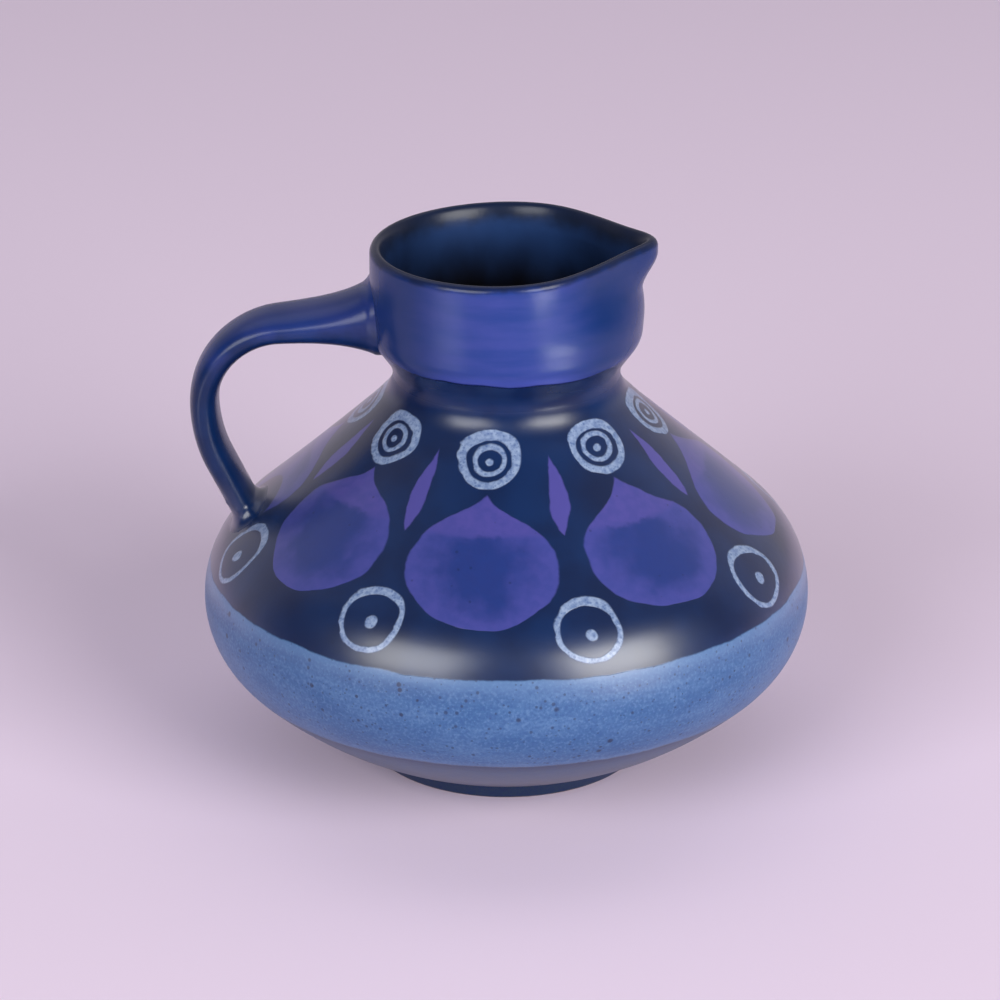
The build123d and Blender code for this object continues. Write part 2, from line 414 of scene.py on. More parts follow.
def foot_profile():
    """Closed profile of the foot ring: a standing face with two round corners, a leaning and an upright side."""
    join = UNDERSIDE_CENTER[0] + UNDERSIDE_CURVE * math.cos(FOOT_JOIN_TURN)
    inner = FOOT_RADIUS - FOOT_WIDTH
    lean = math.degrees(math.atan2(FOOT_HEIGHT, join - FOOT_RADIUS))
    outer_run = FOOT_ROUND * math.tan(math.radians(lean / 2))
    outer_center = (FOOT_RADIUS - outer_run, FOOT_ROUND)
    inner_center = (inner + FOOT_ROUND, FOOT_ROUND)
    outer_corner = arc(outer_center, FOOT_ROUND, -90, lean - 90, 0.12)
    inner_corner = arc(inner_center, FOOT_ROUND, -180, -90, 0.12)
    rise = np.linspace(outer_corner[-1], (join, FOOT_HEIGHT), 8)[1:]
    top = np.linspace((join, FOOT_HEIGHT), (inner, FOOT_HEIGHT), 8)[1:]
    fall = np.linspace((inner, FOOT_HEIGHT), inner_corner[0], 8)[1:-1]
    return np.concatenate([outer_corner, rise, top, fall, inner_corner])


def base_profile():
    """Profile of the base from pole to pole, over the floor, up its inside and down its outside, and lining values."""
    inside = stretch(inside_outline(), FLOOR_HEIGHT, BASE_SEAM_HEIGHT)
    inside = inside[inside[:, 0] > 0.5]
    outside = stretch(outside_outline(), FOOT_HEIGHT, BASE_SEAM_HEIGHT)[::-1]
    recess = np.linspace(outside[-1], (0.6, FOOT_HEIGHT), 44)[1:]
    profile = np.concatenate([[(0, FLOOR_HEIGHT)], inside, outside, recess, [(0, FOOT_HEIGHT)]])
    return profile, 1 - lining(1 + len(inside), len(outside) + len(recess) + 1)


def collar_rings():
    """Rings of the collar, up its outside, over a round rim that is a parabola of the way to the lip, and down inside,
    with lining values and the depth below the rim."""
    angle = around_axis(COLLAR_COLUMNS)
    forward = (COLLAR_RADIUS + mouth_shift(angle, LIP_FULL_HEIGHT)) * np.cos(angle) / RIM_REACH
    slope, bend = (LIP_RIM_RISE + BACK_RIM_DROP) / 2, (LIP_RIM_RISE - BACK_RIM_DROP) / 2
    rim = RIM_HEIGHT + (slope * forward + bend * forward**2)
    share = np.concatenate([[0, HAIR_SHARE], np.linspace(0, 1, COLLAR_WALL_ROWS)[1:]])[:, None]

    outer_height = WAIST_HEIGHT + share * (rim - RIM_ROUND - WAIST_HEIGHT)
    outer_radius = collar_radius(outer_height, 0) + mouth_shift(angle, outer_height) + settling(angle, outer_height)
    inner_height = (WAIST_HEIGHT + share * (rim - RIM_INNER_ROUND - WAIST_HEIGHT))[::-1]
    inner_radius = collar_radius(inner_height, WALL) + mouth_shift(angle, inner_height) + settling(angle, inner_height)
    flare = RIM_FLARE * np.clip(1 - (rim - inner_height) / RIM_FLARE_DEPTH, 0, 1) ** 2
    inner_radius = inner_radius + channel(angle, inner_height) + flare

    turn = np.radians(np.linspace(0, 180, RIM_ROWS + 2))[1:-1, None]
    outer_side = np.cos(turn) > 0
    wall = outer_radius[-1:] - inner_radius[:1]
    crest = outer_radius[-1:] - RIM_CREST_SHARE * wall
    rim_radius = crest + np.where(outer_side, RIM_CREST_SHARE, 1 - RIM_CREST_SHARE) * wall * np.cos(turn)
    rim_height = rim - np.where(outer_side, RIM_ROUND, RIM_INNER_ROUND) * (1 - np.sin(turn))

    radius = np.concatenate([outer_radius, rim_radius, inner_radius])
    height = np.concatenate([outer_height, rim_height, inner_height])
    points = np.stack([radius * np.cos(angle), radius * np.sin(angle), height], -1)
    over_rim = eased(np.linspace(0, 1, RIM_ROWS), 0.15, 0.85)
    inside = np.concatenate([np.zeros(len(outer_height)), over_rim, np.ones(len(inner_height))])
    return points, np.repeat(inside[:, None], COLLAR_COLUMNS, 1), rim - height


def body_table():
    """Heights and radii of the whole outside, from the foot to the rim, for measuring distances to it."""
    outline = outside_outline()
    heights = np.linspace(WAIST_HEIGHT, RIM_HEIGHT + 10, 200)[1:]
    return np.concatenate([outline[:, 1], heights]), np.concatenate([outline[:, 0], collar_radius(heights, 0)])


def body_distance(points, table):
    """Distance of points from the settled outside, and its outward normal, both at the nearest place of the outline.
    The height of that place is found by steps along the outline's slope until the point lies square to it."""
    heights, radii = table
    reach = np.hypot(points[..., 0], points[..., 1])
    angle = np.arctan2(points[..., 1], points[..., 0])
    height = points[..., 2]
    for _ in range(NEAREST_STEPS):
        radius = np.interp(height, heights, radii) + settling(angle, height)
        above, below = (np.interp(height + shift, heights, radii) for shift in (SLOPE_STEP, -SLOPE_STEP))
        slope = (above - below) / (2 * SLOPE_STEP)
        step = ((reach - radius) * slope + points[..., 2] - height) / (1 + slope**2)
        height = height + NEAREST_DAMPING * step
    normal = np.stack([points[..., 0] / reach, points[..., 1] / reach, -slope], -1)
    length = np.linalg.norm(normal, axis=-1, keepdims=True)
    return ((reach - radius) - slope * (points[..., 2] - height)) / length[..., 0], normal / length


def strap_spine(along):
    """Centre line of the strap in the plane of the lip, its direction and its length: a line, two arcs and a line."""
    turns = np.radians([0, 90 - STRAP_DROOP, STRAP_LEAN, 0])
    arcs = np.array([STRAP_BEND_RADIUS, STRAP_BACK_RADIUS]) * turns[1:3]
    ends = np.cumsum([0, STRAP_ARM_LENGTH, *arcs, STRAP_TAIL_LENGTH])
    fine = np.linspace(0, ends[-1], SPINE_STEPS)
    heading = math.radians(180 + STRAP_DROOP) + np.interp(fine, ends, np.concatenate([[0], np.cumsum(turns)]))
    step = fine[1] - fine[0]
    middle = (heading[1:] + heading[:-1]) / 2
    x = WALL / 2 - COLLAR_RADIUS + np.concatenate([[0], np.cumsum(np.cos(middle) * step)])
    z = STRAP_ROOT_HEIGHT + np.concatenate([[0], np.cumsum(np.sin(middle) * step)])
    return np.interp(along, fine, x), np.interp(along, fine, z), np.interp(along, fine, heading), ends[-1]


def strap_points(along, around):
    """Points of the bare strap and their outward directions: a full oval square to the centre line, whose cosine and
    sine are raised to a power below one, thicker towards the collar by a decaying share."""
    x, z, heading, length = strap_spine(along)
    swell = 1 + UPPER_SWELL_SHARE * np.exp(-along / UPPER_SWELL_REACH)
    width = STRAP_WIDTH_AT_COLLAR - (STRAP_WIDTH_AT_COLLAR - STRAP_WIDTH_AT_SHOULDER) * along / length
    wide, thick = (np.sign(part) * np.abs(part) ** STRAP_CORNER for part in (np.cos(around), np.sin(around)))
    across = width / 2 * swell**0.15 * wide
    out = STRAP_THICKNESS / 2 * swell * thick
    lift = np.sin(around)
    outward = np.stack([np.sin(heading) * lift, np.cos(around) + 0 * along, -np.cos(heading) * lift], -1)
    return np.stack([x + out * np.sin(heading), across, z - out * np.cos(heading)], -1), outward


def strap_lumps(along, around, length):
    """Small beads of glaze over the lower joint, each a bell curve, and a faint unevenness of the hand-pulled strap."""
    total = STRAP_LUMP_HEIGHT * np.sin(along / 7.0 + 2 * np.sin(around)) * np.cos(around * 2 + along / 19)
    for share, turn, size, rise in GLAZE_BEADS:
        off = side_of(around - turn) * STRAP_MM_PER_DEGREE
        total = total + rise * np.exp(-((along - share * length) ** 2 + off**2) / size**2)
    return total


def strap_rings():
    """Rings of the strap from collar to shoulder, and how far each place faces outwards. Each line along it starts and
    ends under the clay's surface, and near both roots it spreads outwards by a quarter circle's profile of its
    distance from that surface."""
    table = body_table()
    around = around_axis(STRAP_COLUMNS)
    length = strap_spine(0.0)[3]
    scan = np.linspace(0, length, STRAP_SCAN_STEPS)[:, None]
    depth, _ = body_distance(strap_points(scan + 0 * around, around + 0 * scan)[0], table)
    lower_half = scan > length / 2
    start_row = np.argmax(np.where(lower_half, False, depth > -ROOT_DEPTH), axis=0)
    end_row = np.argmax(np.where(lower_half, depth < -ROOT_DEPTH, False), axis=0)
    end_row = np.where(end_row == 0, len(scan) - 1, end_row)
    start, end = scan[start_row, 0][None, :], scan[end_row, 0][None, :]
    share = np.linspace(0, 1, STRAP_ROWS)[:, None]
    share = share - STRAP_CROWDING * np.sin(2 * np.pi * share) / (2 * np.pi)
    along = start + share * (end - start)

    points, outward = strap_points(along, around + 0 * along)
    gap, _ = body_distance(points, table)
    reach = np.where(share < 0.5, UPPER_ROOT_FILLET, LOWER_ROOT_FILLET)
    near = np.clip(gap / reach, 0, 1)
    spread = reach * (1 - np.sqrt(np.clip(1 - (1 - near) ** 2, 0, 1)))
    points = points + outward * (spread + strap_lumps(along, around, length))[..., None]
    for _ in range(3):
        moved, normal = body_distance(points, table)
        points = points - normal * ((moved - gap) * (near < 1))[..., None]
    at_root = (1 - np.clip(share / ROOT_SINK_SHARE, 0, 1)) ** 2
    moved, normal = body_distance(points, table)
    points = points - normal * (at_root * np.maximum(moved + ROOT_DEPTH, 0))[..., None]
    return points, 0.5 + 0.5 * np.sin(around) + 0 * along


# ---- material nodes

def tint(red, green, blue, gain=0.76):
    """Linear colour from a screen colour of 0 to 255, times a gain."""
    screen = np.array([red, green, blue]) / 255
    linear = np.where(screen <= 0.04045, screen / 12.92, ((screen + 0.055) / 1.055) ** 2.4) * gain
    return (*[float(value) for value in linear], 1.0)


class Value:
    """One output of a node: a number, vector or colour that changes over the surface. Sums, differences, products and
    quotients of it are Math nodes."""

    def __init__(self, tree, socket):
        self.tree = tree
        self.socket = socket

    def __add__(self, other):
        return calc("ADD", self, other)

    def __sub__(self, other):
        return calc("SUBTRACT", self, other)

    def __mul__(self, other):
        return calc("MULTIPLY", self, other)

    def __truediv__(self, other):
        return calc("DIVIDE", self, other)


class Outputs:
    """The outputs of a node, found by name or number."""

    def __init__(self, tree, node):
        self.tree = tree
        self.node = node

    def __getitem__(self, key):
        return Value(self.tree, self.node.outputs[key])


def feed(value, socket):
    """Links a Value to an input, or writes a plain number, vector or colour on it."""
    if isinstance(value, Value):
        value.tree.links.new(value.socket, socket)
    else:
        socket.default_value = value


def place(kind, values, tree=None, **settings):
    """Adds a node with its settings, and with a value or a link for each input that is named or numbered. It goes where
    its values come from, unless a tree is given."""
    tree = tree or next(value.tree for value in values.values() if isinstance(value, Value))
    made = tree.nodes.new(kind)
    for key, value in settings.items():
        setattr(made, key, value)
    for key, value in values.items():
        feed(value, made.inputs[key])
    return Outputs(tree, made)


def calc(operation, *values):
    """One Math node and its result."""
    return place("ShaderNodeMath", dict(enumerate(values)), operation=operation)[0]


def ramp(value, low, high, start=0.0, end=1.0):
    """Smooth step from start to end as the value goes from low to high."""
    values = {"Value": value, "From Min": low, "From Max": high, "To Min": start, "To Max": end}
    return place("ShaderNodeMapRange", values, interpolation_type="SMOOTHSTEP")["Result"]


def paint(mask, under, over, share=None):
    """Colour over another colour by a mask, or by a share of that mask."""
    mask = mask if share is None else mask * share
    return place("ShaderNodeMix", {0: mask, 6: under, 7: over}, data_type="RGBA")[2]


def mixed(mask, under, over):
    """Number over another number by a mask."""
    return place("ShaderNodeMix", {0: mask, 2: under, 3: over}, data_type="FLOAT")[0]


def hypotenuse(first, second):
    """Square root of the sum of two squares."""
    return calc("SQRT", first * first + second * second)


def group(name, inputs, outputs):
    """New shader node group. Inputs are names with a default number, or None for a vector. Returns the group, its
    inputs as Values and its outputs as sockets to feed."""
    tree = bpy.data.node_groups.new(name, "ShaderNodeTree")
    for label, default in inputs.items():
        kind = "NodeSocketVector" if default is None else "NodeSocketFloat"
        socket = tree.interface.new_socket(label, in_out="INPUT", socket_type=kind)
        if default is not None:
            socket.default_value = default
    for label in outputs:
        tree.interface.new_socket(label, in_out="OUTPUT", socket_type="NodeSocketFloat")
    return tree, Outputs(tree, tree.nodes.new("NodeGroupInput")), tree.nodes.new("NodeGroupOutput").inputs


def use(shared, **values):
    """Places a node group with its values and returns its outputs."""
    return place("ShaderNodeGroup", values, node_tree=shared)


def make_around_jug():
    """Where a point lies on the jug: its turn from the front in radians, its radius and its height in millimetres."""
    tree, given, found = group("around_jug", {"Vector": None}, ["Turn", "Radius", "Height"])
    parts = place("ShaderNodeSeparateXYZ", {"Vector": given["Vector"]})
    feed(calc("ARCTAN2", parts["X"], parts["Y"] * -1.0), found["Turn"])
    feed(hypotenuse(parts["X"], parts["Y"]) * MM_PER_METRE, found["Radius"])
    feed(parts["Z"] * MM_PER_METRE, found["Height"])
    return tree


def make_repeat_round():
    """Motif cells round the jug: the arc length in millimetres from the middle of the nearest cell, and two chance
    numbers of that cell."""
    inputs = {"Turn": 0.0, "Radius": 60.0, "Count": 9.0, "Start": 0.0}
    tree, given, found = group("repeat_round", inputs, ["Across", "Chance", "Other Chance"])
    cells = (given["Turn"] - given["Start"]) * (given["Count"] / (2 * math.pi))
    cell = calc("ROUND", cells)
    feed((cells - cell) * calc("DIVIDE", 2 * math.pi, given["Count"]) * given["Radius"], found["Across"])
    number = calc("FLOORED_MODULO", cell + 0.25, given["Count"])
    for name, seed in (("Chance", number), ("Other Chance", number + 31.0)):
        feed(place("ShaderNodeTexWhiteNoise", {"W": seed}, noise_dimensions="1D")["Value"], found[name])
    return tree


def make_unevenness():
    """Cloudy noise between about 0 and 1. Patch is its size in millimetres, and Drawn stretches it up and down."""
    inputs = {"Vector": None, "Patch": 8.0, "Drawn": 1.0, "Detail": 3.0, "Seed": 0.0}
    tree, given, found = group("unevenness", inputs, ["Value"])
    parts = place("ShaderNodeSeparateXYZ", {"Vector": given["Vector"]})
    lifted = parts["Z"] / given["Drawn"] + given["Seed"]
    moved = place("ShaderNodeCombineXYZ", {"X": parts["X"], "Y": parts["Y"], "Z": lifted})["Vector"]
    scale = calc("DIVIDE", MM_PER_METRE, given["Patch"])
    noise = place("ShaderNodeTexNoise", {"Vector": moved, "Scale": scale, "Detail": given["Detail"]})
    feed(ramp(noise["Fac"], NOISE_LOW, NOISE_HIGH), found["Value"])
    return tree


def make_specks():
    """Round specks in a share of the cells of a Voronoi pattern. Cell and Size are in millimetres."""
    tree, given, found = group("specks", {"Vector": None, "Cell": 5.0, "Size": 0.5, "Share": 0.4}, ["Mask"])
    scale = calc("DIVIDE", MM_PER_METRE, given["Cell"])
    cells = place("ShaderNodeTexVoronoi", {"Vector": given["Vector"], "Scale": scale})
    chance = place("ShaderNodeSeparateColor", {"Color": cells["Color"]})
    away = cells["Distance"] * given["Cell"]
    size = given["Size"] * (chance["Green"] + 0.5)
    spot = ramp(away / size, 0.55, 1.2, 1.0, 0.0)
    feed(spot * calc("LESS_THAN", chance["Red"], given["Share"]), found["Mask"])
    return tree


def make_stroke():
    """A trailed ring of slip, or a dot where Radius is 0: half the line's width less the distance to the circle."""
    tree, given, found = group("slip_stroke", {"Across": 0.0, "Up": 0.0, "Radius": 8.0, "Line": 2.0}, ["Mask"])
    away = calc("ABSOLUTE", hypotenuse(given["Across"], given["Up"]) - given["Radius"])
    feed(ramp(given["Line"] / 2.0 - away, -STROKE_SOFTNESS, STROKE_SOFTNESS), found["Mask"])
    return tree


def make_band_edges():
    """The light band: 1 between its two uneven edges, and masks of the thicker glaze along each of them, the top one
    wide enough to carry a painted highlight as well.
    """
    tree, given, found = group("band_edges", {"Vector": None}, ["Band", "Bead", "Low Bead"])
    where = given["Vector"]
    slow = uneven(where, Patch=16.0, Drawn=3.0, Detail=2.0)
    quick = uneven(where, Patch=2.2, Drawn=2.0, Detail=2.0, Seed=5.0)
    wander = slow * 0.7 + quick * 0.12
    height = use(AROUND_JUG, Vector=where)["Height"]
    top = wander + BAND_TOP_HEIGHT - height
    low = height + wander - BAND_LOW_HEIGHT
    feed(ramp(top, -0.25, 0.3) * ramp(low, -0.3, 0.35), found["Band"])
    # Bead: the thicker glaze under the top edge, made wide enough to carry a painted highlight as well
    feed(ramp(top, -0.1, 0.3) * ramp(top, 3.8, 0.8), found["Bead"])
    feed(ramp(low, -0.1, 0.3) * ramp(low, 2.2, 0.6), found["Low Bead"])
    return tree


def uneven(where, **values):
    """Cloudy noise at a place, from the unevenness group."""
    return use(UNEVENNESS, Vector=where, **values)["Value"]


def specked(where, cell, size, share):
    """Round specks at a place, from the specks group."""
    return use(SPECKS, Vector=where, Cell=cell, Size=size, Share=share)["Mask"]


def attribute(where, name):
    """One of the attributes that the mesh carries."""
    return place("ShaderNodeAttribute", {}, where.tree, attribute_name=name)["Fac"]


AROUND_JUG = make_around_jug()
REPEAT_ROUND = make_repeat_round()
UNEVENNESS = make_unevenness()
SPECKS = make_specks()
SLIP_STROKE = make_stroke()
BAND_EDGES = make_band_edges()

NAVY = tint(12, 44, 94)
NAVY_DEEP = tint(8, 30, 72)
LINING = tint(42, 70, 124)
# Painted shade: the near black that the lining turns to low inside the vessel and on its flanks
LINING_SHADE = tint(10, 9, 16)
BAND_BLUE = tint(60, 104, 159)
BAND_PALE = tint(104, 142, 191)
BAND_DEEP = tint(50, 88, 149)
SPECK = tint(26, 30, 66)
# Painted reflection: the grey-blue of the lit floor seen in the underside
UNDERSIDE_REFLECTION = tint(38, 76, 120)
FOOT_BLUE = tint(32, 58, 88)
VIOLET = tint(56, 71, 151)
VIOLET_BLUE = tint(30, 60, 138)
VIOLET_PALE = tint(76, 88, 176)
PETAL_EDGE = tint(72, 76, 160)
PETAL_HEART = tint(36, 56, 130)
PETAL_TOP = tint(82, 78, 162)
SLIP = tint(158, 178, 212)
SLIP_THIN = tint(112, 136, 182)
CLAY = tint(176, 148, 122)
CLAY_BROWN = tint(140, 112, 90)
RIM_THIN = tint(26, 36, 66)
RIM_DARK = tint(22, 26, 38)


# ---- glazes

def begin(name, index):
    """New material with an index of refraction. Returns it, its Principled BSDF's inputs and the Object coordinates."""
    material = bpy.data.materials.new(name)
    material.use_nodes = True
    tree = material.node_tree
    shader = tree.nodes["Principled BSDF"].inputs
    shader["IOR"].default_value = index
    return material, shader, place("ShaderNodeTexCoord", {}, tree)["Object"]


def raise_glaze(shader, height):
    """Feeds a height in millimetres through a Bump node to the shader."""
    bump = place("ShaderNodeBump", {"Height": height, "Distance": MM, "Strength": 1.0})
    feed(bump["Normal"], shader["Normal"])


def dimpled(where):
    """Fine orange-peel unevenness of a fired glaze over a broader one four times as deep, in millimetres."""
    fine = uneven(where, Patch=1.6, Detail=2.0, Seed=3.0)
    broad = uneven(where, Patch=11.0, Detail=2.0, Seed=8.0)
    return fine * DIMPLE_DEPTH + broad * (4 * DIMPLE_DEPTH)


def navy_ground(where):
    """Dark navy glaze with broad cloudy changes."""
    return paint(uneven(where, Patch=18.0, Detail=4.0, Seed=2.0), NAVY_DEEP, NAVY)


def band_grain(where):
    """Fine grain of the light band's glaze."""
    return uneven(where, Patch=0.75, Detail=3.0, Seed=6.0)


def band_colour(where, edges):
    """Light blue glaze: wiped round the pot, grainy, pale where it gathers at its edges, with dark specks. The pale
    strip under the top edge is also a painted highlight.
    """
    broad = uneven(where, Patch=16.0, Drawn=0.35, Detail=3.0, Seed=4.0)
    wiped = uneven(where, Patch=12.0, Drawn=0.07, Detail=2.0, Seed=1.0)
    grain = band_grain(where)
    colour = paint(broad, BAND_BLUE, BAND_PALE, 0.4)
    colour = paint(wiped, colour, BAND_DEEP, 0.3)
    colour = paint(ramp(grain, 0.55, 0.0, 0.0, 0.5), colour, BAND_DEEP)
    colour = paint(ramp(grain, 0.6, 1.0, 0.0, 0.45), colour, BAND_PALE)
    # Pale strip under the top edge: gathered glaze and, in part, a painted highlight
    colour = paint(edges["Bead"], colour, BAND_PALE, 0.5)
    colour = paint(edges["Low Bead"], colour, BAND_PALE, 0.3)
    for cell, size, share, strength in BAND_SPECKS:
        colour = paint(specked(where, cell, size, share), colour, SPECK, strength)
    return colour


def lined(shader, where, colour, roughness, inner_rim=None):
    """Ends a colour and a roughness with the lining's where that attribute is 1. The lining is painted darker downwards
    and everywhere but the back wall, the handle's side among them, as painted shade inside the vessel, and darker on
    the inner rim where a mask of it is given."""
    inside = attribute(where, "lining")
    spot = use(AROUND_JUG, Vector=where)
    cloud = uneven(where, Patch=15.0, Drawn=2.0, Detail=3.0, Seed=9.0)
    # Painted shade: the lining darkens downwards inside the vessel
    dark = paint(ramp(spot["Height"] + cloud * 5.0, *LINING_SHADE_LIFTS), LINING_SHADE, LINING)
    # Painted shade: the lining darkens everywhere but on the back wall
    dark = paint(ramp(calc("ABSOLUTE", spot["Turn"]), 2.8, 2.1), dark, LINING_SHADE, 0.45)
    if inner_rim is not None:
        dark = paint(inner_rim, dark, RIM_DARK, 0.8)
    feed(paint(inside, colour, dark), shader["Base Color"])
    feed(mixed(inside, roughness, LINING_ROUGHNESS), shader["Roughness"])


def coated(shader, weight, roughness):
    """A clear coat whose weight changes over the surface."""
    feed(weight, shader["Coat Weight"])
    shader["Coat Roughness"].default_value = roughness


def foot_material():
    """Dark blue glaze that stops short of the bare clay of the standing face."""
    material, shader, where = begin("foot_glaze", 1.42)
    wander = uneven(where, Patch=7.0, Detail=3.0)
    bare = ramp(use(AROUND_JUG, Vector=where)["Height"] + wander * 0.2, *FOOT_WIPED)
    grain = uneven(where, Patch=0.8, Detail=4.0)
    feed(paint(bare, paint(grain, FOOT_BLUE, NAVY), paint(grain, CLAY, CLAY_BROWN)), shader["Base Color"])
    feed(mixed(bare, FOOT_ROUGHNESS, CLAY_ROUGHNESS), shader["Roughness"])
    raise_glaze(shader, dimpled(where) + bare * -FOOT_GLAZE_THICKNESS)
    return material


def base_material():
    """Navy glaze next to the foot, a grey-blue painted reflection of the lit floor higher on the underside, painted
    shade just under the band, and the band's lower edge over it.
    """
    material, shader, where = begin("base_glaze", 1.38)
    edges = use(BAND_EDGES, Vector=where)
    height = use(AROUND_JUG, Vector=where)["Height"]
    # Painted reflection of the lit floor on the underside, over the navy glaze
    ground = paint(ramp(height, *UNDERSIDE_REFLECTION_RISES), navy_ground(where), UNDERSIDE_REFLECTION)
    # Painted shade just under the band
    ground = paint(ramp(height, *BAND_SHADES), ground, NAVY, 0.55)
    colour = paint(edges["Band"], ground, band_colour(where, edges))
    lined(shader, where, colour, mixed(edges["Band"], NAVY_ROUGHNESS, BAND_ROUGHNESS))
    raise_glaze(shader, dimpled(where) + edges["Band"] * BAND_THICKNESS)
    return material


def band_material():
    """Light blue speckled band, with navy where its edges wander."""
    material, shader, where = begin("band_glaze", 1.46)
    edges = use(BAND_EDGES, Vector=where)
    colour = paint(edges["Band"], navy_ground(where), band_colour(where, edges))
    lined(shader, where, colour, mixed(edges["Band"], NAVY_ROUGHNESS, BAND_ROUGHNESS))
    coated(shader, ramp(use(AROUND_JUG, Vector=where)["Height"], *BAND_COAT_RISES, 0.0, 0.8), BAND_COAT_ROUGHNESS)
    thick = edges["Band"] * BAND_THICKNESS + edges["Bead"] * BEAD_THICKNESS
    raise_glaze(shader, dimpled(where) + thick + band_grain(where) * GRAIN_DEPTH)
    return material


def curve_profile(value, points):
    """Width of a painted shape along its length, as a curve through points."""
    made = value.tree.nodes.new("ShaderNodeFloatCurve")
    curve = made.mapping.curves[0]
    while len(curve.points) < len(points):
        curve.points.new(0.5, 0.5)
    for knot, location in zip(curve.points, points):
        knot.location = location
        knot.handle_type = "AUTO_CLAMPED"
    made.mapping.update()
    feed(value, made.inputs["Value"])
    return Value(value.tree, made.outputs[0])


def painted_shape(across, up, foot, length, half_width, outline):
    """A brushed shape, as wide as its outline at each share of its length: the depth inside its edge, and the share."""
    share = (up - foot) / length
    half = curve_profile(share, outline) * half_width
    return half - calc("ABSOLUTE", across) - SHAPE_INSET, share


def petal_glaze(where, depth, share):
    """Violet of a petal: bluer in its heart, redder above a blotted line across its neck, with a few dark pores."""
    mottle = uneven(where, Patch=7.0, Detail=4.0, Seed=25.0)
    blot = uneven(where, Patch=2.4, Detail=3.0, Seed=29.0)
    heart = ramp(depth + mottle * 7.0, 4.0, 18.0) * ramp(share + mottle * 0.1, 0.06, 0.3)
    colour = paint(heart, PETAL_EDGE, PETAL_HEART)
    colour = paint(ramp(share + blot * 0.035, 0.66, 0.71), colour, PETAL_TOP)
    colour = paint(blot, colour, VIOLET_BLUE, 0.3)
    return paint(specked(where, 3.4, 0.34, 0.5), colour, NAVY_DEEP, 0.45)


def slip_mask(petal_across, gap_across, up, petals, between, shiver):
    """Trailed slip: a double ring with a dot above each petal, and a ring with a dot between two petals. Chance numbers
    move each a little, and its line grows thicker upwards."""
    target_across = petal_across + (petals["Other Chance"] - 0.5) * 1.6
    target_up = up - TARGET_UP
    loop_across = gap_across + (between["Chance"] - 0.5) * 2.0
    loop_up = up - (between["Other Chance"] * 1.6 + LOOP_UP)
    fuller = (shiver - 0.5) * 0.5
    target_line = ramp(target_up, 1.0, 7.0) * 1.1 + 2.1 + fuller
    loop_line = ramp(loop_up, 4.0, 8.0) * 1.2 + 1.4 + fuller
    strokes = [
        (target_across, target_up, TARGET_RADIUS, target_line),
        (target_across, target_up, TARGET_INNER_RADIUS, target_line * 0.6),
        (target_across, target_up + 0.3, 0.0, TARGET_DOT),
        (loop_across, loop_up, LOOP_RADIUS, loop_line),
        (loop_across + -0.5, loop_up + 0.9, 0.0, LOOP_DOT),
    ]
    masks = [use(SLIP_STROKE, Across=x, Up=y, Radius=radius, Line=line)["Mask"] for x, y, radius, line in strokes]
    slip = masks[0]
    for mask in masks[1:]:
        slip = calc("MAXIMUM", slip, mask)
    return slip


